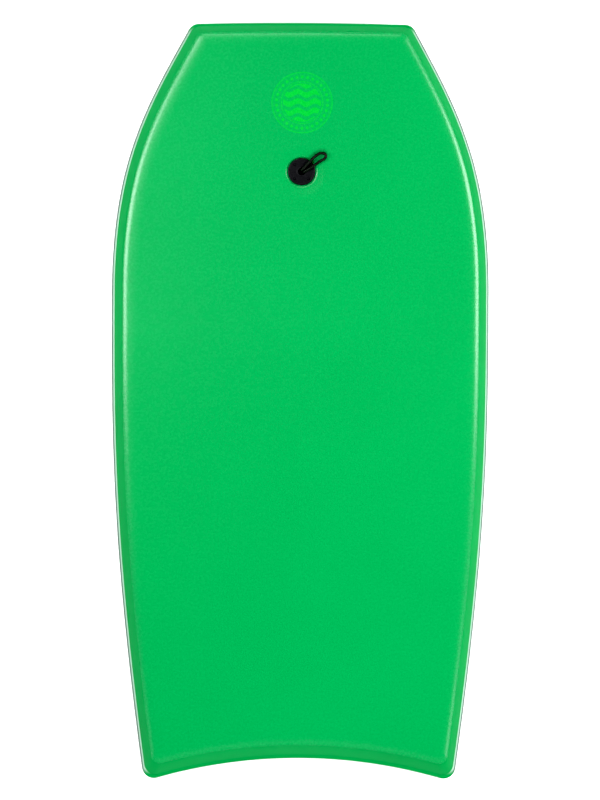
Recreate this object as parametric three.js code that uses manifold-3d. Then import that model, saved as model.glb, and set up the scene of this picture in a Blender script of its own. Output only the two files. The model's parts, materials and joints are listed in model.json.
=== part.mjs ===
// A bodyboard: a foam core between a foam deck and a plastic slick, foam rails and bumpers round the
// edge, and a two-part leash plug whose cord loop swivels and lifts.
// Millimetres, +Z up. The slick's flat tail half rests on z = 0, +Y points to the nose and X runs
// across the board. Lengths along the board are first counted as `s`, from the nose edge to the tail.
import * as THREE from 'three';
import { mergeVertices } from 'three/addons/utils/BufferGeometryUtils.js';
import Module from 'manifold-3d';

const wasm = await Module();
wasm.setup();

// ---------- driving dimensions ----------

// outline
const HALF_WIDTH = 266.7;
const WIDEST_S = 380;
const NOSE_HALF_WIDTH = 154;
const NOSE_SLOPE = 0.55;
const NOSE_REACH = 110;
const SHOULDER_REACH = 190;
const TAIL_HALF_WIDTH = 219;
const TAIL_SLOPE = 0.14;
const TAIL_REACH = 340;
const HIP_REACH = 200;
const TAIL_CORNER_S = 1072;
const NOSE_EDGE_RADIUS = 5930;
const TAIL_EDGE_RADIUS = 729;
const CORNER_RADIUS = 17;

// side view
const THICKNESS = 54;
const ROCKER_START_S = 420;
const NOSE_LIFT = 38;

// layers, as heights above the slick's face, and the glue line between them
const SLICK_TOP = 1;
const BACKING_TOP = 4.3;
const CORE_TOP = 49.7;
const DECK_BOTTOM = 50;
const GLUE = 0.3;
const RAIL_SPLIT = 24.2;

// the edge bands' widths at the nose and tail, as shares of the width at the sides
const NOSE_BAND = 0.9;
const TAIL_BAND = 1.3;

// leash plug, in its own frame: z = 0 on the deck, x across, y toward the nose
const PLUG_S = 210;
const FLANGE_RADIUS = 19.5;
const FLANGE_TOP = 1.4;
const FLANGE_BOTTOM = -1.2;
const DIMPLE_RADIUS = 21.5;
const DIMPLE_DEPTH = 1.5;
const POST_RADIUS = 8.4;
const POST_END = -34;
const CORD_HOLE_RADIUS = 4.6;
const SOCKET_RADIUS = 11.5;
const SOCKET_BORE = 8.8;
const SOCKET_TOP = -12;
const BORE_CLEARANCE = 0.4;
const SPANNER_RING_RADIUS = 14;
const SPANNER_HOLE_RADIUS = 1.9;
const SPANNER_HOLE_DEPTH = 1.3;
const SPANNER_HOLES = 4;

// leash loop
const CORD_RADIUS = 1.85;
const CORD_SIDES = 8;
const CORD_STEPS = 34;
const LOOP_HEADING = THREE.MathUtils.degToRad(38);
const STRAND_OFFSET = 2.1;
const PIVOT_Z = FLANGE_TOP + GLUE + CORD_RADIUS;
const KNOT_RADIUS = 6;

// counts of flat strips that the curves are cut into
const EDGE_STEPS = 4;
const CORNER_STEPS = 6;
const SIDE_STEPS = 20;
const LATHE_STEPS = 32;

// ---------- outline ----------

const point = (x, s) => new THREE.Vector2(x, s);

const frontSide = new THREE.CubicBezierCurve(
  point(NOSE_HALF_WIDTH, 0),
  point(NOSE_HALF_WIDTH + NOSE_SLOPE * NOSE_REACH, NOSE_REACH),
  point(HALF_WIDTH, WIDEST_S - SHOULDER_REACH),
  point(HALF_WIDTH, WIDEST_S),
);

const rearSide = new THREE.CubicBezierCurve(
  point(HALF_WIDTH, WIDEST_S),
  point(HALF_WIDTH, WIDEST_S + HIP_REACH),
  point(TAIL_HALF_WIDTH + TAIL_SLOPE * TAIL_REACH, TAIL_CORNER_S - TAIL_REACH),
  point(TAIL_HALF_WIDTH, TAIL_CORNER_S),
);

const noseCentre = point(0, NOSE_EDGE_RADIUS);
const tailCentre = point(0, TAIL_CORNER_S + Math.sqrt(TAIL_EDGE_RADIUS ** 2 - TAIL_HALF_WIDTH ** 2));

// The point a given distance inside the side, for t from 0 at the nose to 2 at the tail.
function insideSide(t, inset) {
  const curve = t < 1 ? frontSide : rearSide;
  const share = t < 1 ? t : t - 1;
  const along = curve.getTangent(share);
  return curve.getPoint(share).add(point(-along.y * inset, along.x * inset));
}

function bisect(miss, low, high) {
  const rising = miss(high) > miss(low);
  for (let i = 0; i < 40; i += 1) {
    const middle = (low + high) / 2;
    if (miss(middle) > 0 === rising) {
      high = middle;
    } else {
      low = middle;
    }
  }
  return (low + high) / 2;
}

// Points on a circle round a centre, with angles measured from the +x axis toward +s.
function arc(centre, radius, from, to, steps) {
  const points = [];
  for (let i = 0; i <= steps; i += 1) {
    const angle = from + ((to - from) * i) / steps;
    points.push(point(centre.x + radius * Math.cos(angle), centre.y + radius * Math.sin(angle)));
  }
  return points;
}

const angleOf = (from, to) => Math.atan2(to.y - from.y, to.x - from.x);

// Half of the outline, moved in by `inset` at the side, from the middle of the nose edge round to
// the middle of the tail edge. Every inset gives the same number of points, so two outlines match.
function halfOutline(inset) {
  const noseInset = inset * NOSE_BAND;
  const tailInset = inset * TAIL_BAND;
  const radius = Math.max(CORNER_RADIUS - 0.7 * inset, 5);
  const noseRadius = NOSE_EDGE_RADIUS - noseInset;
  const tailRadius = TAIL_EDGE_RADIUS + tailInset;

  const noseMiss = (t) => insideSide(t, inset + radius).distanceTo(noseCentre) - (noseRadius - radius);
  const tailMiss = (t) => insideSide(t, inset + radius).distanceTo(tailCentre) - (tailRadius + radius);
  const noseT = bisect(noseMiss, 0, 1);
  const tailT = bisect(tailMiss, 1, 2);
  const noseCorner = insideSide(noseT, inset + radius);
  const tailCorner = insideSide(tailT, inset + radius);

  const noseEdgeAngle = angleOf(noseCentre, noseCorner);
  const tailEdgeAngle = angleOf(tailCentre, tailCorner);
  const noseSideAngle = angleOf(noseCorner, insideSide(noseT, inset));
  const tailSideAngle = angleOf(tailCorner, insideSide(tailT, inset));

  const noseEdge = arc(noseCentre, noseRadius, -Math.PI / 2, noseEdgeAngle, EDGE_STEPS);
  const noseArc = arc(noseCorner, radius, noseEdgeAngle, noseSideAngle, CORNER_STEPS);
  const side = [];
  for (let i = 0; i <= SIDE_STEPS; i += 1) {
    side.push(insideSide(noseT + ((tailT - noseT) * i) / SIDE_STEPS, inset));
  }
  const tailArc = arc(tailCorner, radius, tailSideAngle, tailEdgeAngle + Math.PI, CORNER_STEPS);
  const tailEdge = arc(tailCentre, tailRadius, tailEdgeAngle, -Math.PI / 2, EDGE_STEPS);
  return [noseEdge, noseArc, side, tailArc, tailEdge].reduce((all, part) => all.concat(part.slice(1)));
}

const tailTip = Math.max(...halfOutline(0).map((p) => p.y));
const HALF_LENGTH = tailTip / 2;

// Stations count the half outline's points, from the middle of the nose edge.
const NOSE_ARC_START = EDGE_STEPS;
const TAIL_ARC_END = EDGE_STEPS + CORNER_STEPS + SIDE_STEPS + CORNER_STEPS;
const LAST_STATION = TAIL_ARC_END + EDGE_STEPS;

// ---------- placing points in space ----------

function rocker(s) {
  const share = Math.max(ROCKER_START_S - s, 0) / ROCKER_START_S;
  return NOSE_LIFT * share * share;
}

const place = (p, height) => new THREE.Vector3(p.x, HALF_LENGTH - p.y, height + rocker(p.y));

// ---------- closed meshes from points and faces ----------

function meshFrom(vertices, triangles) {
  const geometry = new THREE.BufferGeometry();
  const positions = vertices.flatMap((v) => v.toArray());
  geometry.setAttribute('position', new THREE.Float32BufferAttribute(positions, 3));
  geometry.setIndex(triangles);
  return outward(geometry);
}

function signedVolume(geometry) {
  const position = geometry.getAttribute('position');
  const index = geometry.getIndex();
  const corner = (i) => new THREE.Vector3().fromBufferAttribute(position, index.getX(i));
  let volume = 0;
  for (let i = 0; i < index.count; i += 3) {
    volume += corner(i).dot(corner(i + 1).cross(corner(i + 2))) / 6;
  }
  return volume;
}

// Merges shared corners and turns every face outward.
function outward(geometry) {
  geometry.deleteAttribute('normal');
  geometry.deleteAttribute('uv');
  const merged = mergeVertices(geometry, 1e-4);
  if (signedVolume(merged) < 0) {
    const index = merged.getIndex();
    for (let i = 0; i < index.count; i += 3) {
      const second = index.getX(i + 1);
      index.setX(i + 1, index.getX(i + 2));
      index.setX(i + 2, second);
    }
  }
  merged.computeVertexNormals();
  return merged;
}

// The whole ring of an outline: right half from nose to tail, then the left half back to the nose.
function ring(inset) {
  const right = halfOutline(inset);
  const left = right.slice(1, -1).reverse().map((p) => point(-p.x, p.y));
  return right.concat(left);
}

// Rows of points that fill an outline, from the nose edge to the tail edge, blended from its four
// sides. The corners of the patch are the middles of the corner arcs.
function patch(inset, height) {
  const right = halfOutline(inset);
  const noseCornerStation = NOSE_ARC_START + CORNER_STEPS / 2;
  const tailCornerStation = TAIL_ARC_END - CORNER_STEPS / 2;
  const mirrored = (p) => point(-p.x, p.y);
  const across = (half) => half.slice(1).reverse().map(mirrored).concat(half);
  const nose = across(right.slice(0, noseCornerStation + 1));
  const side = right.slice(noseCornerStation, tailCornerStation + 1);
  const tail = across(right.slice(tailCornerStation).reverse());
  const columns = nose.length - 1;
  const rowCount = side.length - 1;
  return side.map((edge, row) => nose.map((nosePoint, column) => {
    const u = column / columns;
    const v = row / rowCount;
    const straight = (a, b, share) => a.clone().lerp(b, share);
    const fromEnds = straight(nosePoint, tail[column], v);
    const fromSides = straight(mirrored(edge), edge, u);
    const corners = straight(
      straight(nose[0], nose[columns], u),
      straight(tail[0], tail[columns], u),
      v,
    );
    return place(fromEnds.add(fromSides).sub(corners), height);
  }));
}

// A plate or block with the board's outline, whose edge passes through the given (inset, height)
// steps from its lower face to its upper face.
function layer(steps) {
  const vertices = [];
  const triangles = [];
  const quad = (a, b, c, d) => triangles.push(a, b, c, a, c, d);

  const addFace = ([inset, height], up) => {
    const rows = patch(inset, height);
    const start = vertices.length;
    const width = rows[0].length;
    rows.forEach((row) => vertices.push(...row));
    for (let r = 0; r + 1 < rows.length; r += 1) {
      for (let c = 0; c + 1 < width; c += 1) {
        const a = start + r * width + c;
        const loop = [a, a + 1, a + width + 1, a + width];
        quad(...(up ? loop.reverse() : loop));
      }
    }
  };

  addFace(steps[0], false);
  addFace(steps[steps.length - 1], true);

  const count = 2 * LAST_STATION;
  const rings = steps.map(([inset, height]) => {
    const start = vertices.length;
    vertices.push(...ring(inset).map((p) => place(p, height)));
    return start;
  });
  for (let level = 0; level + 1 < rings.length; level += 1) {
    for (let i = 0; i < count; i += 1) {
      const next = (i + 1) % count;
      quad(rings[level] + i, rings[level + 1] + i, rings[level + 1] + next, rings[level] + next);
    }
  }
  return meshFrom(vertices, triangles);
}

// A strip of foam with a constant section of (inset, height) corners, laid along the outline
// between two stations. Stations below zero or past the middle of the tail lie on the left half.
function strip(section, from, to) {
  const halves = section.map(([inset]) => halfOutline(inset));
  const outlinePoint = (half, station) => {
    const onLeft = station < 0 || station > LAST_STATION;
    const steps = station > LAST_STATION ? 2 * LAST_STATION - station : Math.abs(station);
    const whole = Math.min(Math.floor(steps), LAST_STATION - 1);
    const p = half[whole].clone().lerp(half[whole + 1], steps - whole);
    return point(onLeft ? -p.x : p.x, p.y);
  };
  const stations = [from];
  for (let station = Math.floor(from) + 1; station < to; station += 1) {
    stations.push(station);
  }
  stations.push(to);

  const vertices = stations.flatMap((station) => (
    section.map(([, height], j) => place(outlinePoint(halves[j], station), height))
  ));
  const count = section.length;
  const triangles = [];
  for (let i = 0; i + 1 < stations.length; i += 1) {
    for (let j = 0; j < count; j += 1) {
      const a = i * count + j;
      const b = i * count + ((j + 1) % count);
      triangles.push(a, b, b + count, a, b + count, a + count);
    }
  }
  const corners = section.map(([inset, height]) => point(inset, height));
  const last = (stations.length - 1) * count;
  THREE.ShapeUtils.triangulateShape(corners, []).forEach(([a, b, c]) => {
    const near = THREE.ShapeUtils.isClockWise(corners) ? [a, b, c] : [a, c, b];
    const far = [...near].reverse().map((i) => i + last);
    triangles.push(...near, ...far);
  });
  return meshFrom(vertices, triangles);
}

function mirrorAcross(geometry) {
  return outward(geometry.clone().scale(-1, 1, 1));
}

function lathe(profile, steps = LATHE_STEPS) {
  const points = profile.map(([r, z]) => point(r, z));
  return outward(new THREE.LatheGeometry(points, steps).rotateX(Math.PI / 2));
}

// ---------- cutting ----------

function toSolid(geometry) {
  const vertProperties = new Float32Array(geometry.getAttribute('position').array);
  const triVerts = new Uint32Array(geometry.getIndex().array);
  return new wasm.Manifold(new wasm.Mesh({ numProp: 3, vertProperties, triVerts }));
}

function cut(geometry, ...tools) {
  const solid = tools.reduce((rest, tool) => rest.subtract(toSolid(tool)), toSolid(geometry));
  const { vertProperties, triVerts } = solid.getMesh();
  const result = new THREE.BufferGeometry();
  result.setAttribute('position', new THREE.BufferAttribute(new Float32Array(vertProperties), 3));
  result.setIndex(new THREE.BufferAttribute(new Uint32Array(triVerts), 1));
  result.computeVertexNormals();
  return result;
}

// ---------- materials ----------

const finish = (color, roughness) => new THREE.MeshStandardMaterial({ color, roughness, metalness: 0 });

const greenFoam = () => finish(0x02be5c, 0.55);
const whiteFoam = () => finish(0xe9eeea, 0.6);
const slickPlastic = () => finish(0xf2f4f2, 0.25);
const coreFoam = () => finish(0xf7f7f4, 0.9);
const blackPlastic = () => finish(0x141516, 0.5);
const blackCord = () => finish(0x101112, 0.85);

const board = new THREE.Group();

function add(parent, name, geometry, material) {
  const mesh = new THREE.Mesh(geometry, material);
  mesh.name = name;
  parent.add(mesh);
  return mesh;
}

// ---------- plug frame ----------

const plugFrame = new THREE.Group();
plugFrame.position.copy(place(point(0, PLUG_S), THICKNESS));
plugFrame.rotation.x = Math.atan((2 * NOSE_LIFT * (ROCKER_START_S - PLUG_S)) / ROCKER_START_S ** 2);
plugFrame.updateMatrix();
board.add(plugFrame);

const SLICK_FACE = -THICKNESS * Math.cos(plugFrame.rotation.x);

// A round hole through part of the board, from one height to another in the plug's frame.
function plugHole(radius, low, high) {
  const profile = [[0, low], [radius, low], [radius, high], [0, high]];
  return lathe(profile).applyMatrix4(plugFrame.matrix);
}

const throughHole = (radius) => plugHole(radius, SLICK_FACE - 10, 10);

// ---------- the layers ----------

const EDGE_GLUE = 9.2;

function makeCore() {
  const block = layer([[9.5, BACKING_TOP + GLUE], [5.3, 19], [8.3, RAIL_SPLIT + 0.1], [19.3, CORE_TOP]]);
  return cut(block, throughHole(SOCKET_RADIUS + BORE_CLEARANCE));
}

function makeDeckSkin() {
  const foot = [15.1, DECK_BOTTOM];
  const edge = [foot, [15.4, 51], [16.5, 52.5], [18.3, 53.5], [20.4, 53.9], [22.5, THICKNESS]];
  const dimple = plugHole(DIMPLE_RADIUS, -DIMPLE_DEPTH, 10);
  return cut(layer(edge), dimple, throughHole(SOCKET_BORE + BORE_CLEARANCE));
}

function makeBacking() {
  const plate = layer([[EDGE_GLUE, SLICK_TOP + GLUE], [EDGE_GLUE, BACKING_TOP]]);
  return cut(plate, throughHole(SOCKET_RADIUS + BORE_CLEARANCE));
}

function makeSlick() {
  const plate = layer([[EDGE_GLUE, 0], [EDGE_GLUE, SLICK_TOP]]);
  return cut(plate, throughHole(FLANGE_RADIUS + BORE_CLEARANCE));
}

add(board, 'core_blank', makeCore(), coreFoam());
add(board, 'deck_skin', makeDeckSkin(), greenFoam());
add(board, 'slick_backing', makeBacking(), whiteFoam());
add(board, 'slick_sheet', makeSlick(), slickPlastic());

// ---------- the edge strips ----------

// Outer faces as (inset, height), from the slick's edge up, and the glued inner faces back down.
const lowerOuter = [[8.9, 0], [7.6, 0.6], [5, 5], [2, 10.5], [0.4, 16], [0, 19], [0.6, 21.8], [2, 23.6]];
const upperOuter = [[9.2, 36.9], [14.6, 49.4]];
const lowerInner = [[8, RAIL_SPLIT], [5, 19], [8.9, BACKING_TOP + GLUE]];
const upperInner = [[19, CORE_TOP], [8.1, RAIL_SPLIT + GLUE]];

const lowerRail = lowerOuter.concat([[3.8, RAIL_SPLIT]], lowerInner);
const upperRail = [[3.8, RAIL_SPLIT + GLUE], ...upperOuter, ...upperInner];
const bumper = [...lowerOuter, [3.8, RAIL_SPLIT + GLUE], ...upperOuter, upperInner[0], ...lowerInner];

function addRail(name, section, material) {
  const right = strip(section, NOSE_ARC_START, TAIL_ARC_END);
  add(board, `right_${name}`, right, material());
  add(board, `left_${name}`, mirrorAcross(right), material());
}

addRail('upper_rail', upperRail, greenFoam);
addRail('lower_rail', lowerRail, whiteFoam);

// The share of one edge step that leaves a glue line between a bumper and the rails' ends.
const edgeStep = (station) => halfOutline(0)[station].distanceTo(halfOutline(0)[station + 1]);
const noseEnd = NOSE_ARC_START - GLUE / edgeStep(0);
add(board, 'nose_bumper', strip(bumper, -noseEnd, noseEnd), greenFoam());

const tailEnd = TAIL_ARC_END + GLUE / edgeStep(TAIL_ARC_END);
add(board, 'tail_bumper', strip(bumper, tailEnd, 2 * LAST_STATION - tailEnd), greenFoam());

// ---------- leash plug ----------

function makePlugTop() {
  const body = lathe([
    [CORD_HOLE_RADIUS, POST_END],
    [POST_RADIUS, POST_END],
    [POST_RADIUS, FLANGE_BOTTOM],
    [FLANGE_RADIUS - 0.8, FLANGE_BOTTOM],
    [FLANGE_RADIUS, FLANGE_BOTTOM + 0.6],
    [FLANGE_RADIUS, FLANGE_TOP - 1.5],
    [FLANGE_RADIUS - 0.5, FLANGE_TOP - 0.6],
    [FLANGE_RADIUS - 1.6, FLANGE_TOP],
    [CORD_HOLE_RADIUS + 0.6, FLANGE_TOP],
    [CORD_HOLE_RADIUS, FLANGE_TOP - 0.6],
    [CORD_HOLE_RADIUS, POST_END],
  ]);
  const spannerHoles = [];
  for (let i = 0; i < SPANNER_HOLES; i += 1) {
    const angle = ((i + 0.5) * 2 * Math.PI) / SPANNER_HOLES;
    const floor = FLANGE_TOP - SPANNER_HOLE_DEPTH;
    const profile = [[0, floor], [SPANNER_HOLE_RADIUS, floor], [SPANNER_HOLE_RADIUS, 10], [0, 10]];
    const hole = lathe(profile, 12);
    hole.translate(SPANNER_RING_RADIUS * Math.cos(angle), SPANNER_RING_RADIUS * Math.sin(angle), 0);
    spannerHoles.push(hole);
  }
  return cut(body, ...spannerHoles);
}

function makePlugBottom() {
  const top = SLICK_FACE + SLICK_TOP;
  const bottom = top - (FLANGE_TOP - FLANGE_BOTTOM);
  return lathe([
    [SOCKET_BORE, bottom],
    [FLANGE_RADIUS - 1.6, bottom],
    [FLANGE_RADIUS - 0.5, bottom + 0.6],
    [FLANGE_RADIUS, bottom + 1.5],
    [FLANGE_RADIUS, top],
    [SOCKET_RADIUS, top],
    [SOCKET_RADIUS, SOCKET_TOP],
    [SOCKET_BORE, SOCKET_TOP],
    [SOCKET_BORE, bottom],
  ]);
}

add(plugFrame, 'leash_plug_top', makePlugTop(), blackPlastic());
add(plugFrame, 'leash_plug_bottom', makePlugBottom(), blackPlastic());

// ---------- leash cord ----------

const knotCentre = POST_END - GLUE - KNOT_RADIUS;

function makeKnot() {
  const ball = new THREE.SphereGeometry(KNOT_RADIUS, 16, 10);
  return outward(ball.rotateX(Math.PI / 2).translate(0, 0, knotCentre));
}

// The two strands side by side in the plug's hole, rounded over the axis that the loop lifts about.
function makeStem() {
  const outline = new THREE.Shape();
  outline.moveTo(CORD_RADIUS, knotCentre + KNOT_RADIUS + GLUE);
  outline.lineTo(CORD_RADIUS, PIVOT_Z);
  outline.absarc(0, PIVOT_Z, CORD_RADIUS, 0, Math.PI, false);
  outline.lineTo(-CORD_RADIUS, knotCentre + KNOT_RADIUS + GLUE);
  const width = 2 * (STRAND_OFFSET + CORD_RADIUS);
  const options = { depth: width, bevelEnabled: false, curveSegments: 8 };
  const stem = new THREE.ExtrudeGeometry(outline, options);
  stem.translate(0, 0, -width / 2).rotateX(Math.PI / 2).rotateZ(LOOP_HEADING);
  return outward(stem);
}

// The loop's route over the flange and the deck, out along one strand, round its eye and back.
const loopRoute = [
  [0.3, 2.9, PIVOT_Z],
  [4.2, 6.7, PIVOT_Z],
  [8.4, 11.2, PIVOT_Z],
  [12.6, 15.6, PIVOT_Z],
  [16.6, 19.9, 3.7],
  [20.6, 23.4, 4],
  [24.6, 25.9, 4.2],
  [28.6, 26.8, 4.5],
  [32.0, 25.8, 4.8],
  [33.8, 23.2, 4.9],
  [33.3, 20.2, 4.8],
  [30.6, 17.7, 4.5],
  [26.4, 15.4, 4.2],
  [21.4, 12.0, 3.9],
  [16.6, 8.5, 3.7],
  [12.0, 5.5, PIVOT_Z],
  [7.5, 2.6, PIVOT_Z],
  [2.9, -0.4, PIVOT_Z],
].map(([x, y, z]) => new THREE.Vector3(x, y, z));

function makeLoop() {
  const corners = arc(point(0, 0), CORD_RADIUS, 0, 2 * Math.PI, CORD_SIDES).slice(1);
  const section = new THREE.Shape(corners);
  const path = new THREE.CatmullRomCurve3(loopRoute);
  return outward(new THREE.ExtrudeGeometry(section, { steps: CORD_STEPS, extrudePath: path }));
}

add(plugFrame, 'leash_knot', makeKnot(), blackCord());
add(plugFrame, 'leash_stem', makeStem(), blackCord());
add(plugFrame, 'leash_loop', makeLoop(), blackCord());

export default board;
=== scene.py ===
"""A foam bodyboard lying deck up on a pale floor, seen from straight above, nose up.

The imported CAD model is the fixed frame. The visible layers, edge strips, plug and cord are rebuilt
round it at full smoothness, in millimetres in the board's own frame, and turned into metres as each
mesh is made. Lengths along the board are counted as `s`, from the nose edge toward the tail.
"""
import functools
import json
import math

import bmesh
import bpy
import numpy as np
from mathutils import Matrix, Vector


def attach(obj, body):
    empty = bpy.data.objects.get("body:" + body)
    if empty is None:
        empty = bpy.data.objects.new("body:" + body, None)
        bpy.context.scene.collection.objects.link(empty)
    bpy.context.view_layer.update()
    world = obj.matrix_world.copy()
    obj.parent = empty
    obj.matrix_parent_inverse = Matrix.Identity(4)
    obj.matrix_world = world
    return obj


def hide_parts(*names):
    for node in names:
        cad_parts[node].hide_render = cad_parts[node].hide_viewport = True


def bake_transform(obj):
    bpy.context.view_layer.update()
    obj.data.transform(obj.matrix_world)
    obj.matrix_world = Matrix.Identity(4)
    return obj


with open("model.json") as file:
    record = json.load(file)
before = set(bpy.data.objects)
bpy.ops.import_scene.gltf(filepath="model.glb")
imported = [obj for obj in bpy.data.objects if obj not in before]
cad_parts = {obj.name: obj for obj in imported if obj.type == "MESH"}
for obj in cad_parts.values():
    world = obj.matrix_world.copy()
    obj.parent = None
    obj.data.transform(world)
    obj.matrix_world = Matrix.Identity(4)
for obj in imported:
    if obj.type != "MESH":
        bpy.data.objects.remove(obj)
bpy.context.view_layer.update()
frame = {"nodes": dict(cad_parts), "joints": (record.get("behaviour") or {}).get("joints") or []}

MM = 0.001
JOINTS = {joint["name"]: joint for joint in frame["joints"]}

# ---------- sizes, in millimetres ----------

HALF_WIDTH = 266.7
HALF_LENGTH = 533.507
WIDEST_S = 380
TAIL_CORNER_S = 1072
FRONT_SIDE = [(154, 0), (214.5, 110), (HALF_WIDTH, 190), (HALF_WIDTH, WIDEST_S)]
REAR_SIDE = [(HALF_WIDTH, WIDEST_S), (HALF_WIDTH, 580), (266.6, 732), (219, TAIL_CORNER_S)]
NOSE_EDGE_RADIUS = 5930
TAIL_EDGE_RADIUS = 729
CORNER_RADIUS = 17

THICKNESS = 54
ROCKER_START_S = 420
NOSE_LIFT = 38
NOSE_BAND = 0.9
TAIL_BAND = 1.3

# The grey line on the lower rail is painted shade: it darkens the rail's widest part, where the rounding
# turns away from the light.
SHADE_LINE_HEIGHT = 20.6
SHADE_LINE_WIDTH = 5.2
SHADE_LINE_SOFTNESS = 0.3
# Where the lower rail's pale foam turns to green: partly painted shade, where the light falls off toward the
# corners, and partly where it meets the green bumpers.
NOSE_FADE = (16, 6)
TAIL_FADE = (5, 15)

SLICK_TOP = 1
SLICK_INSET = 9.2
BACKING_TOP = 4.3
DECK_BOTTOM = 50
DECK_INSET = 15.1
DECK_EDGE_SLOPE = 32  # degrees
DECK_EDGE_SOFTNESS = 5.5
DECK_EDGE_STEPS = (0, 0.5, 1, 1.6, 2.3, 3.1, 4, 5, 6.2, 7.7, 9.5, 12, 15, 19)
RAIL_SPLIT = 24.2
SEAM = 0.3
END_JOINT = 0.04

FLANGE_RADIUS = 19.5
FLANGE_TOP = 1.4
FLANGE_BOTTOM = -1.2
POST_RADIUS = 8.4
POST_END = -34
CORD_HOLE = 4.6
SOCKET_RADIUS = 11.5
SOCKET_BORE = 8.8
SOCKET_TOP = -12
SPANNER_RING = 14
SPANNER_HOLE = 1.9

SEAT_DEPTH = 1.95
SEAT_RADIUS = 20
SEAT_FLOOR = -2.5
LIP_RADIUS = 23.0
LIP_ROLL = 1.5
HOLLOW_DEPTH = 0.75
HOLLOW_RADIUS = 36

CORD_RADIUS = 2.1
STRAND_OFFSET = 2.1
BRAID_STRANDS = 4
BRAID_PITCH = 9.0
BRAID_VALLEY = 0.955  # shares of the cord's radius
BRAID_RIDGE = 0.055
KNOT_CENTRE_Z = -40.3
KNOT_RADIUS = 2.9
KNOT_LOBE = 1.35
KNOT_RISE = 2.2

EMBLEM_S = 113
EMBLEM_RADIUS = 43
EMBLEM_DISC = 27
EMBLEM_INNER_RING = 29.3
EMBLEM_LINE = 1.2
EMBLEM_DOT_RING = 36
EMBLEM_DOTS = 30
EMBLEM_DOT_SIZE = 4.2
EMBLEM_TINT = 0.22  # share of the ink
WAVE_SPACING = 13
WAVE_HEIGHT = 2.4
WAVE_TURN = 0.26  # radians per millimetre

# ---------- camera ----------

CAMERA_HEIGHT = 12.0
CAMERA_TILT = 1.5
CAMERA_ROLL = 0.2
CAMERA_Y = 0.0018
CAMERA_LIFT = 0.019
PICTURE_HEIGHT = 1.1315
SENSOR = 36


def make_camera():
    data = bpy.data.cameras.new("camera")
    data.sensor_width = SENSOR
    data.lens = SENSOR * CAMERA_HEIGHT / PICTURE_HEIGHT
    data.clip_end = 50
    camera = bpy.data.objects.new("camera", data)
    tilt = math.radians(CAMERA_TILT)
    camera.location = (
        -math.sin(tilt) * CAMERA_HEIGHT, CAMERA_Y, math.cos(tilt) * CAMERA_HEIGHT + CAMERA_LIFT
    )
    camera.rotation_mode = "ZYX"
    camera.rotation_euler = (0, -tilt, math.radians(CAMERA_ROLL))
    bpy.context.scene.collection.objects.link(camera)
    bpy.context.scene.camera = camera


WORLD_SIDES = 0.50
WORLD_OVERHEAD = 0.12
WORLD_FADE = (0.35, 0.85)
BLACK_POINT = 0.0115
LOOK = "Medium High Contrast"
EXPOSURE = -0.1

# ---------- material nodes ----------


class Paint:
    """A material, with short calls for the nodes that colour it."""

    def __init__(self, name, roughness, specular=0.5):
        self.material = bpy.data.materials.new(name)
        self.material.use_nodes = True
        self.tree = self.material.node_tree
        self.shader = self.tree.nodes["Principled BSDF"]
        self.set("Roughness", roughness)
        self.set("Specular IOR Level", specular)
        self.place = self.node("ShaderNodeTexCoord").outputs["Object"]

    def node(self, kind, **settings):
        made = self.tree.nodes.new(kind)
        for key, value in settings.items():
            setattr(made, key, value)
        return made

    def feed(self, socket, value):
        if isinstance(value, bpy.types.NodeSocket):
            self.tree.links.new(value, socket)
        elif isinstance(value, tuple) and len(value) == 3 and socket.type == "RGBA":
            socket.default_value = (*value, 1)
        else:
            socket.default_value = value

    def set(self, socket, value):
        self.feed(self.shader.inputs[socket], value)

    def math(self, operation, *values):
        made = self.node("ShaderNodeMath", operation=operation)
        for socket, value in zip(made.inputs, values):
            self.feed(socket, value)
        return made.outputs[0]

    def axes(self, vector):
        made = self.node("ShaderNodeSeparateXYZ")
        self.feed(made.inputs[0], vector)
        return made.outputs[0], made.outputs[1], made.outputs[2]

    def vector(self, x, y, z):
        made = self.node("ShaderNodeCombineXYZ")
        for socket, value in zip(made.inputs, (x, y, z)):
            self.feed(socket, value)
        return made.outputs[0]

    def ramp(self, value, low, high, start=0.0, end=1.0):
        """A smooth step from start to end as value goes from low to high."""
        made = self.node("ShaderNodeMapRange", interpolation_type="SMOOTHSTEP")
        for socket, number in zip(made.inputs, (value, low, high, start, end)):
            self.feed(socket, number)
        return made.outputs[0]

    def noise(self, size, detail=2.0, vector=None):
        """Cloudy noise with features of about `size` millimetres."""
        made = self.node("ShaderNodeTexNoise")
        self.feed(made.inputs["Vector"], vector or self.place)
        made.inputs["Scale"].default_value = 1 / (size * MM)
        made.inputs["Detail"].default_value = detail
        return made.outputs[0]

    def cells(self, size):
        """Distance to the nearest of scattered points about `size` millimetres apart."""
        made = self.node("ShaderNodeTexVoronoi")
        self.feed(made.inputs["Vector"], self.place)
        made.inputs["Scale"].default_value = 1 / (size * MM)
        return made.outputs["Distance"]

    def mix(self, share, first, second):
        made = self.node("ShaderNodeMix", data_type="RGBA")
        for name, value in (("Factor_Float", share), ("A_Color", first), ("B_Color", second)):
            self.feed(next(s for s in made.inputs if s.identifier == name), value)
        return next(s for s in made.outputs if s.identifier == "Result_Color")

    def distance(self, x, y):
        return self.math("SQRT", self.math("ADD", self.math("POWER", x, 2), self.math("POWER", y, 2)))

    def gap(self, value, at):
        """How far value is from `at`, either way."""
        return self.math("ABSOLUTE", self.math("SUBTRACT", value, at))

    def bump(self, height, distance):
        """Small relief: `height` from 0 to 1 stands for `distance` millimetres."""
        made = self.node("ShaderNodeBump")
        made.inputs["Strength"].default_value = 1
        made.inputs["Distance"].default_value = distance * MM
        self.feed(made.inputs["Height"], height)
        self.set("Normal", made.outputs[0])


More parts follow.
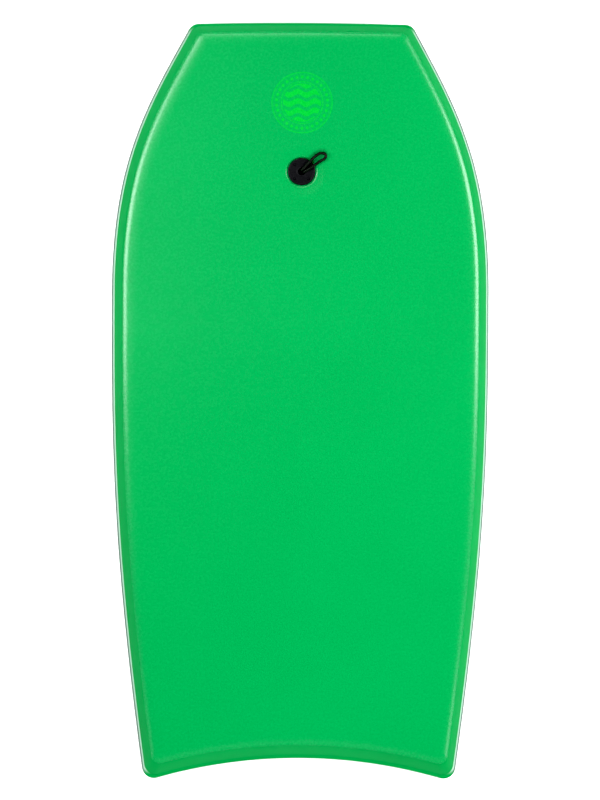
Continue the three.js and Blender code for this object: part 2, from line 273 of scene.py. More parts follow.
GREEN = (0.001, 0.217, 0.0535)
GREEN_LIGHT = (0.001, 0.223, 0.0555)
RAIL_GREEN = (0.002, 0.210, 0.048)
RAIL_LIGHT = (0.003, 0.225, 0.053)
EMBLEM_INK = (0.001, 0.300, 0.029)
WHITE = (0.27, 0.42, 0.325)
WHITE_LIGHT = (0.29, 0.445, 0.345)
# Grey painted shade for the lower rail's widest, outward-turned part.
PAINTED_SHADE_GREY = (0.11, 0.155, 0.13)

LINE_SOFTNESS = 0.35
FILL_SOFTNESS = 0.3
FOAM_RELIEF = 0.035


def emblem_mask(paint):
    """1 where the printed emblem's ink is: two ring lines, a ring of dots, and a disc cut by waves,
    on a fainter tint that fills the outer ring."""
    x, y, _ = paint.axes(paint.place)
    down = paint.math("SUBTRACT", y, (HALF_LENGTH - EMBLEM_S) * MM)
    across = paint.math("MULTIPLY", x, 1 / MM)
    up = paint.math("MULTIPLY", down, 1 / MM)
    radius = paint.distance(across, up)

    def inside(value, edge, soft, ink=1.0):
        return paint.ramp(value, edge - soft, edge + soft, ink, 0.0)

    def line(at):
        return inside(paint.gap(radius, at), EMBLEM_LINE / 2, LINE_SOFTNESS)

    def dots():
        turn = paint.math("DIVIDE", paint.math("ARCTAN2", up, across), 2 * math.pi)
        share = paint.math("FRACT", paint.math("MULTIPLY", paint.math("ADD", turn, 1), EMBLEM_DOTS))
        spacing = 2 * math.pi * EMBLEM_DOT_RING / EMBLEM_DOTS
        along = paint.math("MULTIPLY", paint.math("SUBTRACT", share, 0.5), spacing)
        far = paint.distance(along, paint.math("SUBTRACT", radius, EMBLEM_DOT_RING))
        return inside(far, EMBLEM_DOT_SIZE / 2, LINE_SOFTNESS)

    wave = paint.math("SINE", paint.math("MULTIPLY", across, WAVE_TURN))
    height = paint.math("ADD", up, paint.math("MULTIPLY", wave, WAVE_HEIGHT))
    band = paint.gap(paint.math("FRACT", paint.math("DIVIDE", height, WAVE_SPACING)), 0.5)
    waves = paint.ramp(band, 0.17, 0.22)
    disc = paint.math("MULTIPLY", waves, inside(radius, EMBLEM_DISC, FILL_SOFTNESS))
    ink = paint.math("MAXIMUM", disc, inside(radius, EMBLEM_RADIUS, FILL_SOFTNESS, EMBLEM_TINT))
    for part in (line(EMBLEM_RADIUS - EMBLEM_LINE / 2), line(EMBLEM_INNER_RING), dots()):
        ink = paint.math("MAXIMUM", ink, part)
    return ink


def foam_relief(paint):
    """The fine stipple of closed-cell foam skin."""
    grain = paint.math("MULTIPLY", paint.cells(1.3), 0.7)
    fine = paint.math("MULTIPLY", paint.noise(0.7, 3.0), 0.6)
    slow = paint.math("MULTIPLY", paint.noise(60, 2.0), 2.0)
    paint.bump(paint.math("ADD", paint.math("ADD", grain, fine), slow), FOAM_RELIEF)


def green_foam(name, roughness, specular, dark, light, printed=False):
    paint = Paint(name, roughness, specular)
    patches = paint.ramp(paint.noise(140, 3.0), 0.35, 0.7)
    speckle = paint.ramp(paint.noise(1.6, 2.0), 0.3, 0.75, 0.0, 0.5)
    colour = paint.mix(paint.math("MAXIMUM", patches, speckle), dark, light)
    if printed:
        colour = paint.mix(emblem_mask(paint), colour, EMBLEM_INK)
    paint.set("Base Color", colour)
    wear = paint.ramp(paint.noise(4, 3.0), 0.3, 0.7, roughness - 0.03, roughness + 0.03)
    paint.set("Roughness", wear)
    foam_relief(paint)
    return paint.material


def white_foam():
    """Pale foam with a thin grey band of painted shade along the rail's widest part, where its rounding
    turns away from the light. Both turn into the rail's green just before the bumpers; this fade is partly
    painted shade, where the light falls off toward the corners, and partly the pale foam meeting the green
    bumpers."""
    paint = Paint("white_foam", 0.8, 0.03)
    _, y, z = paint.axes(paint.place)
    toward_nose = paint.math("SUBTRACT", y, (HALF_LENGTH - ROCKER_START_S) * MM)
    share = paint.math("DIVIDE", paint.math("MAXIMUM", toward_nose, 0.0), ROCKER_START_S * MM)
    lift = paint.math("MULTIPLY", paint.math("POWER", share, 2.0), NOSE_LIFT * MM)
    height = paint.math("SUBTRACT", z, lift)
    # A band of painted shade round the rail's widest height, where the rounding turns from the light.
    off = paint.gap(height, SHADE_LINE_HEIGHT * MM)
    edge, soft = SHADE_LINE_WIDTH / 2, SHADE_LINE_SOFTNESS
    line = paint.ramp(off, (edge - soft) * MM, (edge + soft) * MM, 1.0, 0.0)
    foam = paint.mix(paint.noise(30, 3.0), WHITE, WHITE_LIGHT)
    # Fade to green toward the nose and tail: partly painted shade, and partly the pale foam meeting the
    # green bumpers.
    front = paint.ramp(y, *[(HALF_LENGTH - s) * MM for s in NOSE_FADE])
    back = paint.ramp(y, *[(s - HALF_LENGTH) * MM for s in TAIL_FADE], 1.0, 0.0)
    with_painted_shade = paint.mix(line, foam, PAINTED_SHADE_GREY)
    paint.set("Base Color", paint.mix(paint.math("MAXIMUM", front, back), with_painted_shade, RAIL_GREEN))
    foam_relief(paint)
    return paint.material


def core_foam():
    """Moulded beads, each a few millimetres across."""
    paint = Paint("core_foam", 0.85)
    cells = paint.cells(4.5)
    paint.set("Base Color", paint.mix(paint.ramp(cells, 0.2, 0.7), (0.86, 0.86, 0.83), (0.7, 0.7, 0.68)))
    paint.bump(cells, 0.3)
    return paint.material


def slick_plastic():
    paint = Paint("slick_plastic", 0.24)
    length = paint.vector(*[
        paint.math("MULTIPLY", axis, scale) for axis, scale in zip(paint.axes(paint.place), (1, 0.02, 1))
    ])
    scuffs = paint.noise(1.2, 3.0, length)
    paint.set("Base Color", paint.mix(paint.noise(90, 2.0), (0.78, 0.80, 0.78), (0.84, 0.86, 0.84)))
    paint.set("Roughness", paint.ramp(scuffs, 0.35, 0.7, 0.20, 0.34))
    paint.bump(paint.noise(18, 1.0), 0.05)
    return paint.material


def black_plastic():
    """Spark-textured moulded plastic."""
    paint = Paint("black_plastic", 0.42, 0.15)
    paint.set("Base Color", paint.mix(paint.noise(6, 2.0), (0.005, 0.005, 0.006), (0.008, 0.008, 0.009)))
    paint.set("Roughness", paint.ramp(paint.noise(2.5, 3.0), 0.3, 0.7, 0.38, 0.48))
    paint.bump(paint.noise(0.35, 2.0), 0.03)
    return paint.material


def black_cord():
    """Braided polyester, near black with a faint mottle and a fine fibre relief; the braid's crossing ridges
    are in the cord's shape.
    """
    paint = Paint("black_cord", 0.55, 0.2)
    paint.set("Base Color", paint.mix(paint.noise(0.5, 3.0), (0.002, 0.004, 0.002), (0.005, 0.008, 0.005)))
    paint.bump(paint.noise(0.22, 3.0), 0.05)
    return paint.material


# ---------- meshes ----------

CREASE = 35


def mesh_object(name, points, faces, material, crease=CREASE):
    """A smooth-shaded mesh from points in millimetres, with edges sharper than `crease` degrees."""
    mesh = bpy.data.meshes.new(name)
    mesh.from_pydata((np.asarray(points) * MM).tolist(), [], faces)
    mesh.validate()
    mesh.update()
    finish_mesh(mesh, crease)
    mesh.materials.append(material)
    piece = bpy.data.objects.new(name, mesh)
    bpy.context.scene.collection.objects.link(piece)
    return piece


def finish_mesh(mesh, crease):
    """Merges doubled points, turns every face outward and shades it smooth."""
    work = bmesh.new()
    work.from_mesh(mesh)
    bmesh.ops.remove_doubles(work, verts=work.verts, dist=1e-6)
    if work.calc_volume(signed=True) < 0:
        bmesh.ops.reverse_faces(work, faces=work.faces)
    work.to_mesh(mesh)
    work.free()
    mesh.shade_smooth()
    mesh.set_sharp_from_angle(angle=math.radians(crease))


def stands_for(piece, node, body):
    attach(piece, body)
    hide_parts(node)


def cut_with(piece, *cutters):
    """Takes the cutters' shapes out of a piece and removes them."""
    for cutter in cutters:
        modifier = piece.modifiers.new("cut", "BOOLEAN")
        modifier.object = cutter
        modifier.operation = "DIFFERENCE"
        modifier.solver = "EXACT"
    bpy.context.view_layer.update()
    evaluated = piece.evaluated_get(bpy.context.evaluated_depsgraph_get())
    mesh = bpy.data.meshes.new_from_object(evaluated)
    piece.modifiers.clear()
    piece.data = mesh
    mesh.shade_smooth()
    mesh.set_sharp_from_angle(angle=math.radians(CREASE))
    for cutter in cutters:
        bpy.data.objects.remove(cutter)


# ---------- outline ----------


def bezier(points, t):
    """Points and unit directions on a cubic curve, for an array of shares t."""
    p0, p1, p2, p3 = (np.array(p, float) for p in points)
    t = t[:, None]
    u = 1 - t
    place = u**3 * p0 + 3 * u * u * t * p1 + 3 * u * t * t * p2 + t**3 * p3
    along = u * u * (p1 - p0) + 2 * u * t * (p2 - p1) + t * t * (p3 - p2)
    return place, along / np.linalg.norm(along, axis=1)[:, None]


def inside_side(t, inset):
    """Points the given distance inside the board's side, for t from 0 at the nose to 2 at the tail."""
    t = np.atleast_1d(np.asarray(t, float))
    front, front_along = bezier(FRONT_SIDE, np.clip(t, 0, 1))
    rear, rear_along = bezier(REAR_SIDE, np.clip(t - 1, 0, 1))
    ahead = (t < 1)[:, None]
    along = np.where(ahead, front_along, rear_along)
    inward = np.stack([-along[:, 1], along[:, 0]], axis=1)
    return np.where(ahead, front, rear) + inset * inward


def bisect(miss, low, high):
    rising = miss(high) > miss(low)
    for _ in range(40):
        middle = (low + high) / 2
        if (miss(middle) > 0) == rising:
            high = middle
        else:
            low = middle
    return (low + high) / 2


def arc(centre, radius, start, end, steps):
    angles = np.linspace(start, end, steps + 1)
    return centre + radius * np.stack([np.cos(angles), np.sin(angles)], axis=1)


def angle_of(start, end):
    return math.atan2(end[1] - start[1], end[0] - start[0])


NOSE_CENTRE = np.array([0, NOSE_EDGE_RADIUS], float)
TAIL_HALF_WIDTH = REAR_SIDE[3][0]
TAIL_CENTRE = np.array([0, TAIL_CORNER_S + math.sqrt(TAIL_EDGE_RADIUS**2 - TAIL_HALF_WIDTH**2)])


@functools.lru_cache(maxsize=None)
def outline(inset):
    """The right half of the outline, moved in by `inset` at the side, as five lines of points from
    the middle of the nose edge to the middle of the tail edge."""
    radius = CORNER_RADIUS - 0.35 * inset
    nose_radius = NOSE_EDGE_RADIUS - inset * NOSE_BAND
    tail_radius = TAIL_EDGE_RADIUS + inset * TAIL_BAND

    def corner(t):
        return inside_side(t, inset + radius)[0]

    nose_t = bisect(lambda t: np.linalg.norm(corner(t) - NOSE_CENTRE) - (nose_radius - radius), 0, 1)
    tail_t = bisect(lambda t: np.linalg.norm(corner(t) - TAIL_CENTRE) - (tail_radius + radius), 1, 2)
    nose_corner, tail_corner = corner(nose_t), corner(tail_t)
    nose_edge_angle = angle_of(NOSE_CENTRE, nose_corner)
    tail_edge_angle = angle_of(TAIL_CENTRE, tail_corner)
    nose_side_angle = angle_of(nose_corner, inside_side(nose_t, inset)[0])
    tail_side_angle = angle_of(tail_corner, inside_side(tail_t, inset)[0])
    return (
        arc(NOSE_CENTRE, nose_radius, -math.pi / 2, nose_edge_angle, 40),
        arc(nose_corner, radius, nose_edge_angle, nose_side_angle, 24),
        inside_side(np.linspace(nose_t, tail_t, 220), inset),
        arc(tail_corner, radius, tail_side_angle, tail_edge_angle + math.pi, 24),
        arc(TAIL_CENTRE, tail_radius, tail_edge_angle, -math.pi / 2, 40),
    )


def join(*lines):
    """One line from several that each start where the last one ends."""
    return np.concatenate([lines[0], *[line[1:] for line in lines[1:]]])


def resampled(line, shares):
    steps = np.linalg.norm(np.diff(line, axis=0), axis=1)
    length = np.concatenate([[0], np.cumsum(steps)])
    at = np.asarray(shares) * length[-1]
    return np.stack([np.interp(at, length, line[:, 0]), np.interp(at, length, line[:, 1])], axis=1)


def spans(*stops):
    """Shares from 0 to 1 in stretches of even steps, given as (where the stretch ends, steps)."""
    shares = [np.zeros(1)]
    for end, steps in stops:
        shares.append(np.linspace(shares[-1][-1], end, steps + 1)[1:])
    return np.concatenate(shares)


def corner_halves(inset):
    """The outline's nose edge, side and tail edge, cut at the middles of the corner arcs."""
    nose_edge, nose_arc, side, tail_arc, tail_edge = outline(inset)
    half = len(nose_arc) // 2
    return (
        join(nose_edge, nose_arc[: half + 1]),
        join(nose_arc[half:], side, tail_arc[: half + 1]),
        join(tail_arc[half:], tail_edge),
    )


# Steps are close together round the corners and where the plug's dimple needs them.
ACROSS = spans((0.15, 44), (0.9, 16), (1, 9))
LENGTHWISE = spans((0.014, 8), (0.155, 14), (0.245, 100), (0.975, 60), (1, 10))


def mirrored(points):
    return points * np.array([-1, 1])


def ring(inset):
    """The whole outline at one inset, from the middle of the nose edge round to it again."""
    nose, side, tail = corner_halves(inset)
    right = join(
        resampled(nose, ACROSS), resampled(side, LENGTHWISE), resampled(tail, 1 - ACROSS[::-1])
    )
    return np.concatenate([right, mirrored(right[1:-1][::-1])])


def patch(inset):
    """A grid of points that fills the outline, rows from nose to tail, columns from left to right."""
    nose, side, tail = corner_halves(inset)
    nose = resampled(nose, ACROSS)
    tail = resampled(tail, 1 - ACROSS[::-1])[::-1]
    right = resampled(side, LENGTHWISE)
    nose = np.concatenate([mirrored(nose[1:][::-1]), nose])
    tail = np.concatenate([mirrored(tail[1:][::-1]), tail])
    left = mirrored(right)
    u = ((nose[:, 0] / nose[-1, 0] + 1) / 2)[None, :, None]
    v = np.linspace(0, 1, len(right))[:, None, None] ** 3
    from_ends = nose[None] * (1 - v) + tail[None] * v
    from_sides = left[:, None] * (1 - u) + right[:, None] * u
    corners = (nose[0] * (1 - u) + nose[-1] * u) * (1 - v) + (tail[0] * (1 - u) + tail[-1] * u) * v
    return from_ends + from_sides - corners


def rocker(s):
    share = np.maximum(ROCKER_START_S - s, 0) / ROCKER_START_S
    return NOSE_LIFT * share * share


def place(points, height):
    """Points of the outline plane, in the board's frame at a height above its slick."""
    s = points[..., 1]
    return np.stack([points[..., 0], HALF_LENGTH - s, height + rocker(s)], axis=-1)


def layer(name, steps, material, relief=None):
    """A plate with the board's outline, whose edge passes through the (inset, height) steps from its
    lower face to its upper face. relief moves the finished points, where it is given."""
    points, faces = [], []

    def add(block):
        start = sum(len(p) for p in points)
        points.append(block.reshape(-1, 3))
        return start

    def add_face(inset, height, turned):
        grid = place(patch(inset), height)
        start = add(grid)
        rows, columns = grid.shape[:2]
        for r in range(rows - 1):
            for c in range(columns - 1):
                a = start + r * columns + c
                face = (a, a + 1, a + columns + 1, a + columns)
                faces.append(face[::-1] if turned else face)

    add_face(*steps[0], turned=False)
    add_face(*steps[-1], turned=True)
    starts = [add(place(ring(inset), height)) for inset, height in steps]
    count = len(ring(steps[0][0]))
    for low, high in zip(starts, starts[1:]):
        for i in range(count):
            j = (i + 1) % count
            faces.append((low + i, high + i, high + j, low + j))
    points = np.concatenate(points)
    if relief:
        points = relief(points)
    return mesh_object(name, points, faces, material)


def strip(name, section, lines, material):
    """A foam strip of the (inset, height) section, laid along lines that give, for an inset, the
    points of one stretch of the outline."""
    columns = [place(lines(inset), height) for inset, height in section]
    grid = np.stack(columns, axis=1)
    stations, count = grid.shape[:2]
    faces = []
    for i in range(stations - 1):
        for j in range(count):
            k = (j + 1) % count
            faces.append((i * count + j, i * count + k, (i + 1) * count + k, (i + 1) * count + j))
    last = (stations - 1) * count
    faces.append(tuple(range(count)))
    faces.append(tuple(range(last, last + count)))
    return mesh_object(name, grid.reshape(-1, 3), faces, material)


def rounded(corners, radii, steps=5):
    """A section's corners, in order round it, each rounded by a curve that starts `radius` away."""
    corners = np.array(corners, float)
    points = []
    for i, radius in enumerate(radii):
        here, before, after = corners[i], corners[i - 1], corners[(i + 1) % len(corners)]
        if radius == 0:
            points.append(here)
            continue
        start = here + (before - here) * min(radius / np.linalg.norm(before - here), 0.49)
        end = here + (after - here) * min(radius / np.linalg.norm(after - here), 0.49)
        for share in np.linspace(0, 1, steps):
            points.append((1 - share) ** 2 * start + 2 * share * (1 - share) * here + share**2 * end)
    return [tuple(p) for p in points]


# ---------- the plug's frame ----------

plug_axis = Vector(JOINTS["loop_swivel"]["axis"]).normalized()
plug_tilt = math.asin(-plug_axis.y)
PLUG = (
    Matrix.Translation(Vector(JOINTS["loop_swivel"]["pos_m"]) / MM)
    @ Matrix.Rotation(plug_tilt, 4, "X")
)
PIVOT = Vector(JOINTS["loop_lift"]["pos_m"]) / MM
PIVOT_Z = (PLUG.inverted() @ PIVOT).z
lift_axis = PLUG.to_3x3().inverted() @ Vector(JOINTS["loop_lift"]["axis"])
LOOP_HEADING = math.atan2(lift_axis.x, -lift_axis.y)
SLICK_FACE = -THICKNESS * math.cos(plug_tilt)


def in_plug(points):
    """Points of the plug's frame, in the board's frame."""
    matrix = np.array(PLUG)
    return np.asarray(points, float) @ matrix[:3, :3].T + matrix[:3, 3]


def lathe(name, profile, material, steps=96, centre=(0, 0), crease=CREASE):
    """A closed ring or solid turned about an axis that stands on `centre` in the plug's frame."""
    turns = np.linspace(0, 2 * math.pi, steps, endpoint=False)
    points, faces = [], []
    for turn in turns:
        for r, z in profile:
            points.append((centre[0] + r * math.cos(turn), centre[1] + r * math.sin(turn), z))
    count = len(profile)
    on_axis = profile[0][0] == 0 and profile[-1][0] == 0
    for i in range(steps):
        k = (i + 1) % steps
        for j in range(count - 1 if on_axis else count):
            m = (j + 1) % count
            faces.append((i * count + j, k * count + j, k * count + m, i * count + m))
    return mesh_object(name, in_plug(points), faces, material, crease)


def hole_cutter(name, profile, material, **options):
    return lathe(name, [(0, profile[0][1]), *profile, (0, profile[-1][1])], material, **options)


# ---------- the leash cord ----------

LOOP_ROUTE = [
    (4.6, 7.1, PIVOT_Z),
    (8.4, 11.2, PIVOT_Z),
    (12.6, 15.6, PIVOT_Z),
    (16.6, 19.9, 3.7),
    (20.6, 23.4, 4.0),
    (24.6, 25.9, 4.2),
    (28.6, 26.8, 4.5),
    (32.0, 25.8, 4.8),
    (33.8, 23.2, 4.9),
    (33.3, 20.2, 4.8),
    (30.6, 17.7, 4.5),
    (26.4, 15.4, 4.2),
    (21.4, 12.0, 3.9),
    (16.6, 8.5, 3.7),
    (12.0, 5.5, PIVOT_Z),
    (7.6, 2.7, PIVOT_Z),
]
BEND_RADIUS = 5.6
STRAND_LEAD = 0.5
STRAND_IN_HOLE_Z = -24


def strand_in_hole(side, low=STRAND_IN_HOLE_Z):
    """One strand from down in the plug's hole up and over toward the loop; side is 1 or -1."""
    heading = np.array([math.cos(LOOP_HEADING), math.sin(LOOP_HEADING), 0])
    across = np.array([-heading[1], heading[0], 0]) * side * STRAND_OFFSET
    bend_x, bend_z = BEND_RADIUS + STRAND_LEAD, PIVOT_Z - BEND_RADIUS
    points = [across + heading * STRAND_LEAD + np.array([0, 0, z]) for z in np.linspace(low, bend_z, 6)]
    for turn in np.linspace(math.pi, math.pi * 0.58, 5)[1:]:
        out = bend_x + BEND_RADIUS * math.cos(turn)
        points.append(across + heading * out + np.array([0, 0, bend_z + BEND_RADIUS * math.sin(turn)]))
    return points


def smooth_line(points, step):
    """An even line of points, `step` apart, on a Catmull-Rom curve through the given ones."""
    points = np.array(points, float)
    points = np.concatenate([[2 * points[0] - points[1]], points, [2 * points[-1] - points[-2]]])
    t = np.linspace(0, 1, 24, endpoint=False)[:, None]
    pieces = []
    for a, b, c, d in zip(points, points[1:], points[2:], points[3:]):
        pieces.append(
            0.5 * (2 * b + (c - a) * t + (2 * a - 5 * b + 4 * c - d) * t**2 + (3 * b - a - 3 * c + d) * t**3)
        )
    line = np.concatenate([*pieces, [points[-2]]])
    length = np.concatenate([[0], np.cumsum(np.linalg.norm(np.diff(line, axis=0), axis=1))])
    at = np.linspace(0, length[-1], round(length[-1] / step) + 1)
    return np.stack([np.interp(at, length, line[:, i]) for i in range(3)], axis=1)


def braided_tube(name, line, material, closed=False, sides=20):
    """A cord along the line, with the crossing ridges of an eight-strand braid on its surface."""
    count = len(line)
    if closed:
        along = np.roll(line, -1, axis=0) - np.roll(line, 1, axis=0)
    else:
        along = np.gradient(line, axis=0)
    along /= np.linalg.norm(along, axis=1)[:, None]
    side = np.cross(along[0], (0, 0, 1) if abs(along[0][2]) < 0.9 else (1, 0, 0))
    sides_of = []
    for direction in along:
        side = side - direction * (side @ direction)
        side = side / np.linalg.norm(side)
        sides_of.append(side)
    sides_of = np.array(sides_of)
    ups = np.cross(along, sides_of)
    travel = np.arange(count) * np.linalg.norm(line[1] - line[0])
    turn = np.linspace(0, 2 * math.pi, sides, endpoint=False)
    twist = 2 * math.pi * travel[:, None] / BRAID_PITCH
    right = np.cos(BRAID_STRANDS * (turn[None] + twist))
    left = np.cos(BRAID_STRANDS * (turn[None] - twist))
    radius = CORD_RADIUS * (BRAID_VALLEY + BRAID_RIDGE * np.maximum(right, left))
    points = (
        line[:, None]
        + radius[..., None] * np.cos(turn)[None, :, None] * sides_of[:, None]
        + radius[..., None] * np.sin(turn)[None, :, None] * ups[:, None]
    )
    faces = []
    for i in range(count if closed else count - 1):
        k = (i + 1) % count
        for j in range(sides):
            m = (j + 1) % sides
            faces.append((i * sides + j, i * sides + m, k * sides + m, k * sides + j))
    if not closed:
        faces.append(tuple(range(sides)))
        faces.append(tuple(range((count - 1) * sides, count * sides)))
    return mesh_object(name, points.reshape(-1, 3), faces, material, crease=60)


def make_cord(material):
    route = [*strand_in_hole(1), *LOOP_ROUTE, *strand_in_hole(-1)[::-1]]
    line = in_plug(smooth_line(route, 0.3))
    cord = braided_tube("leash_cord", line, material)
    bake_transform(cord)
    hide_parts("leash_stem", "leash_loop")


def make_knot(material):
    """The overhand knot under the plug's post, with the two strands that rise from it."""
    t = np.linspace(0, 2 * math.pi, 160, endpoint=False)
    swing = KNOT_RADIUS + KNOT_LOBE * np.cos(3 * t)
    rise = KNOT_CENTRE_Z + KNOT_RISE * np.sin(3 * t)
    knot = np.stack([swing * np.cos(2 * t), swing * np.sin(2 * t), rise], axis=1)
    body = braided_tube("leash_knot_tied", in_plug(knot), material, closed=True)
    strands = []
    for side, label in ((1, "left"), (-1, "right")):
        root = np.array([0, 2.0 * side, KNOT_CENTRE_Z + 2.5])
        top = strand_in_hole(side, STRAND_IN_HOLE_Z + 2)[0]
        middle = (root + top) / 2 + np.array([0, 0, -2.0])
        line = in_plug(smooth_line([root, middle, top], 0.4))
        strands.append(braided_tube(f"leash_strand_{label}", line, material))
    stands_for(body, "leash_knot", "leash_knot")
    for strand in strands:
        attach(strand, "leash_knot")


# ---------- the board's pieces ----------


def dimpled(points):
    """Presses the plug's seat into the deck's upper face, with a rolled lip and a soft hollow round it."""
    matrix = np.array(PLUG.inverted())
    local = points @ matrix[:3, :3].T + matrix[:3, 3]
    far = np.hypot(local[:, 0], local[:, 1])
    roll = np.clip((LIP_RADIUS - far) / (LIP_RADIUS - SEAT_RADIUS), 0, 1)
    hollow = np.clip((HOLLOW_RADIUS - far) / (HOLLOW_RADIUS - LIP_RADIUS), 0, 1)
    drop = (SEAT_DEPTH - HOLLOW_DEPTH) * roll**LIP_ROLL + HOLLOW_DEPTH * hollow**2 * (3 - 2 * hollow)
    drop = drop * (local[:, 2] > SEAT_FLOOR)
    return points - drop[:, None] * np.array(PLUG)[:3, 2]


def make_deck(material):
    lip, steepest = DECK_INSET, math.radians(DECK_EDGE_SLOPE)
    insets = lip + 0.5 + np.array(DECK_EDGE_STEPS)
    fine = np.linspace(insets[0], insets[-1], 400)
    slope = np.tan(steepest * np.exp(-(fine - insets[0]) / DECK_EDGE_SOFTNESS))
    fall = np.concatenate([[0], np.cumsum((slope[1:] + slope[:-1]) / 2 * np.diff(fine))])
    edge = [(q, THICKNESS - fall[-1] + np.interp(q, fine, fall)) for q in insets]
    foot = [(lip + 0.4, DECK_BOTTOM), (lip + 0.05, DECK_BOTTOM + 0.15), (lip, DECK_BOTTOM + 0.4)]
    steps = [*foot, (lip + 0.15, edge[0][1] - 0.2), *edge]
    deck = layer("deck_skin_foam", steps, material, dimpled)
    cutter = hole_cutter("hole", [(SOCKET_BORE, SOCKET_TOP), (SOCKET_BORE, 3)], material)
    cut_with(deck, cutter)
    stands_for(deck, "deck_skin", "board")


def make_slick(material):
    inset = SLICK_INSET
    steps = [(inset + 0.5, 0), (inset + 0.1, 0.1), (inset, 0.4), (inset, 0.7), (inset, SLICK_TOP)]
    slick = layer("slick_skin", steps, material)
    reach = FLANGE_RADIUS + 0.4
    cutter = hole_cutter("hole", [(reach, SLICK_FACE - 5), (reach, SLICK_FACE + 5)], material)
    cut_with(slick, cutter)
    stands_for(slick, "slick_sheet", "board")


def rail_line(inset):
    _, nose_arc, side, tail_arc, _ = outline(inset)
    return join(nose_arc, side, tail_arc)


def left_rail_line(inset):
    return mirrored(rail_line(inset))


def whole_edge(line):
    """Both halves of a nose or tail edge, from one corner to the other, shortened by the end joints."""
    full = np.concatenate([mirrored(line[1:][::-1]), line])
    length = np.linalg.norm(np.diff(full, axis=0), axis=1).sum()
    shares = np.linspace(END_JOINT / length, 1 - END_JOINT / length, len(full))
    return resampled(full, shares)


def nose_line(inset):
    return whole_edge(outline(inset)[0])


def tail_line(inset):
    return whole_edge(outline(inset)[4][::-1])


LOWER_OUTER = [(8.9, 0.02), (7.3, 1.2), (4.6, 5.6), (1.9, 11), (0.3, 15.8), (0, 19.4), (1.2, 22.6)]
UPPER_OUTER = [(8.3, 37.3), (14.5, 49.5)]
LOWER_INNER = [(8, RAIL_SPLIT), (5, 19), (8.9, BACKING_TOP + SEAM)]
UPPER_INNER = [(19, 49.7), (8.1, RAIL_SPLIT + SEAM)]

SPLIT_INSET = 3.8

LOWER_RAIL = rounded(
    [*LOWER_OUTER, (SPLIT_INSET, RAIL_SPLIT), *LOWER_INNER],
    [0.3, 1.5, 2, 2, 2, 1.8, 1.2, 0.6, 0, 0, 0],
)
UPPER_RAIL = rounded(
    [(SPLIT_INSET, RAIL_SPLIT + SEAM), *UPPER_OUTER, *UPPER_INNER], [0.8, 11, 0.9, 0, 0]
)
BUMPER = rounded(
    [*LOWER_OUTER, (SPLIT_INSET, RAIL_SPLIT + SEAM), *UPPER_OUTER, UPPER_INNER[0], *LOWER_INNER],
    [0.3, 1.5, 2, 2, 2, 1.8, 1.2, 1.5, 11, 1.2, 0, 0, 0, 0],
)


def make_edge_strips(green, white):
    for label, line in (("right", rail_line), ("left", left_rail_line)):
        upper = strip(f"{label}_upper_rail_foam", UPPER_RAIL, line, green)
        stands_for(upper, f"{label}_upper_rail", "board")
        lower = strip(f"{label}_lower_rail_foam", LOWER_RAIL, line, white)
        stands_for(lower, f"{label}_lower_rail", "board")
    for label, line in (("nose", nose_line), ("tail", tail_line)):
        bumper = strip(f"{label}_bumper_foam", BUMPER, line, green)
        stands_for(bumper, f"{label}_bumper", "board")


# ---------- the leash plug ----------


def make_plug_top(material):
    profile = rounded(
        [
            (CORD_HOLE, POST_END),
            (POST_RADIUS, POST_END),
            (POST_RADIUS, FLANGE_BOTTOM),
            (FLANGE_RADIUS, FLANGE_BOTTOM),
            (FLANGE_RADIUS, FLANGE_TOP - 0.35),
            (FLANGE_RADIUS - 2.2, FLANGE_TOP),
            (FLANGE_RADIUS - 3.0, FLANGE_TOP - 0.25),
            (CORD_HOLE + 2.6, FLANGE_TOP - 0.25),
            (CORD_HOLE + 2.0, FLANGE_TOP),
            (CORD_HOLE, FLANGE_TOP),
        ],
        [0.3, 0.3, 0.3, 0.5, 1.6, 0.8, 0.3, 0.3, 0.3, 0.9],
        steps=6,
    )
    plug = lathe("leash_plug_disc", profile, material, crease=50)
    cutters = []
    for i in range(4):
        turn = (i + 0.5) * math.pi / 2
        centre = (SPANNER_RING * math.cos(turn), SPANNER_RING * math.sin(turn))
        rim = SPANNER_HOLE + 0.4
        lips = [(SPANNER_HOLE, 0.1), (SPANNER_HOLE, 0.75), (rim, 1.2), (rim, 3)]
        cutters.append(hole_cutter(f"spanner_hole_{i}", lips, material, steps=32, centre=centre))
    cut_with(plug, *cutters)
    stands_for(plug, "leash_plug_top", "board")


def make_plug_bottom(material):
    top = SLICK_FACE + SLICK_TOP
    bottom = top - (FLANGE_TOP - FLANGE_BOTTOM)
    profile = rounded(
        [
            (SOCKET_BORE, bottom),
            (FLANGE_RADIUS - 2.2, bottom),
            (FLANGE_RADIUS, bottom + 0.35),
            (FLANGE_RADIUS, top),
            (SOCKET_RADIUS, top),
            (SOCKET_RADIUS, SOCKET_TOP),
            (SOCKET_BORE, SOCKET_TOP),
        ],
        [0.9, 0.8, 1.4, 0.3, 0.3, 0.3, 0.3],
        steps=6,
    )
    plug = lathe("leash_plug_cup", profile, material, crease=50)
    stands_for(plug, "leash_plug_bottom", "board")


# ---------- light and floor ----------


def add_light(name, place, target, size, power, in_gloss=True):
    data = bpy.data.lights.new(name, "AREA")
    data.shape = "RECTANGLE"
    data.size, data.size_y = size
    data.energy = power
    light = bpy.data.objects.new(name, data)
    light.location = place
    light.rotation_euler = (Vector(target) - Vector(place)).to_track_quat("-Z", "Y").to_euler()
    light.visible_glossy = in_gloss
    bpy.context.scene.collection.objects.link(light)


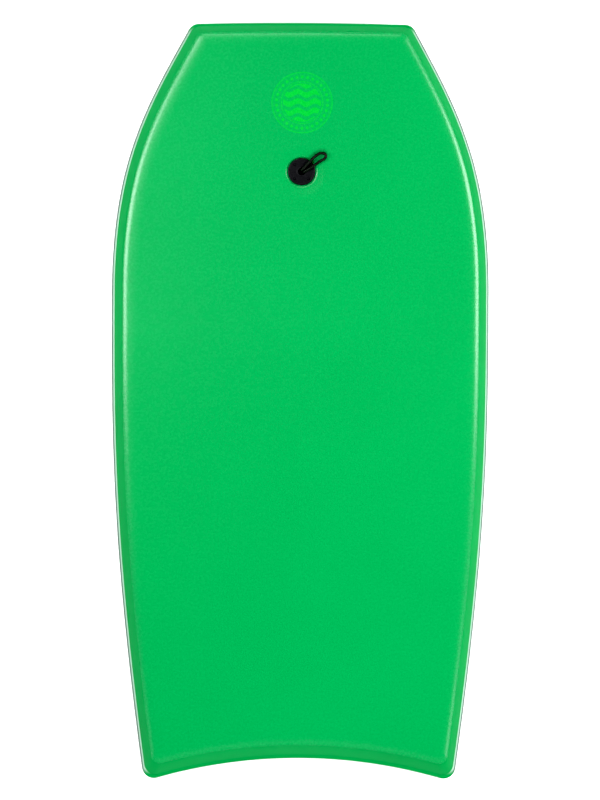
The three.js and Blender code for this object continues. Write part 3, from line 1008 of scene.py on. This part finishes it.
def make_studio():
    """A bright room that is darker overhead, with a softbox on each side, cards that the foam and the
    plug reflect, and fills that light the board without being reflected in it."""
    world = bpy.data.worlds.new("studio")
    world.use_nodes = True
    tree = world.node_tree
    axes = tree.nodes.new("ShaderNodeSeparateXYZ")
    ramp = tree.nodes.new("ShaderNodeMapRange")
    ramp.interpolation_type = "SMOOTHSTEP"
    for socket, value in zip(ramp.inputs[1:5], (*WORLD_FADE, WORLD_SIDES, WORLD_OVERHEAD)):
        socket.default_value = value
    background = tree.nodes["Background"]
    background.inputs["Color"].default_value = (1, 1, 1, 1)
    tree.links.new(tree.nodes.new("ShaderNodeTexCoord").outputs["Generated"], axes.inputs[0])
    tree.links.new(axes.outputs[2], ramp.inputs[0])
    tree.links.new(ramp.outputs[0], background.inputs["Strength"])
    scene = bpy.context.scene
    scene.world = world
    scene.view_settings.view_transform = "Standard"
    scene.view_settings.look = LOOK
    scene.view_settings.exposure = EXPOSURE
    scene.view_settings.use_curve_mapping = True
    scene.view_settings.curve_mapping.black_level = (BLACK_POINT,) * 3
    scene.view_settings.curve_mapping.update()

    paint = Paint("floor", 0.9, 0.1)
    paint.set("Base Color", paint.mix(paint.noise(400, 2.0), (0.93, 0.93, 0.93), (0.95, 0.95, 0.95)))
    edge, drop = 9e3, -0.3
    corners = [(-edge, -edge, drop), (edge, -edge, drop), (edge, edge, drop), (-edge, edge, drop)]
    floor = mesh_object("floor", corners, [(0, 1, 2, 3)], paint.material)

    add_light("left_softbox", (-1.1, 0.26, 1.1), (-0.1, 0.2, 0), (0.38, 0.75), 14)
    add_light("right_softbox", (1.2, 0.28, 1.0), (0.1, 0.2, 0), (0.5, 0.7), 17)
    add_light("tail_fill", (0, -1.7, 2.0), (0, -0.3, 0), (2.4, 0.8), 71, in_gloss=False)
    add_light("nose_card", (-0.1, 1.2, 1.6), (0, 0.3, 0), (1.0, 0.4), 5)
    add_light("nose_fill", (0, 1.9, 0.55), (0, 0.5, 0), (1.6, 0.4), 18, in_gloss=False)
    add_light("right_fill", (1.6, -0.15, 0.9), (0.2, -0.15, 0), (1.8, 0.8), 12, in_gloss=False)
    add_light("right_tail_card", (1.2, -0.70, 1.0), (0.1, -0.6, 0), (0.25, 0.6), 2.4)
    add_light("left_tail_card", (-1.2, -0.74, 1.0), (-0.1, -0.62, 0), (0.14, 0.5), 0.8)
    add_light("sheen_card", (-0.62, 0.50, 1.3), (-0.2, 0.3, 0), (0.4, 0.7), 4.5)
    add_light("glow_card", (-0.15, 0.75, 1.6), (0, 0.32, 0), (0.5, 0.3), 1.1)


def carried_over(node, material):
    """A CAD node that stays, with its real material."""
    slots = frame["nodes"][node].data.materials
    slots.clear()
    slots.append(material)


make_camera()
cord_material = black_cord()
make_cord(cord_material)
make_knot(cord_material)
green = green_foam("rail_foam", 0.5, 0.025, RAIL_GREEN, RAIL_LIGHT)
white = white_foam()
plastic = black_plastic()
make_deck(green_foam("deck_foam", 0.27, 0.5, GREEN, GREEN_LIGHT, printed=True))
make_slick(slick_plastic())
make_edge_strips(green, white)
make_plug_top(plastic)
make_plug_bottom(plastic)
carried_over("core_blank", core_foam())
carried_over("slick_backing", white)
make_studio()
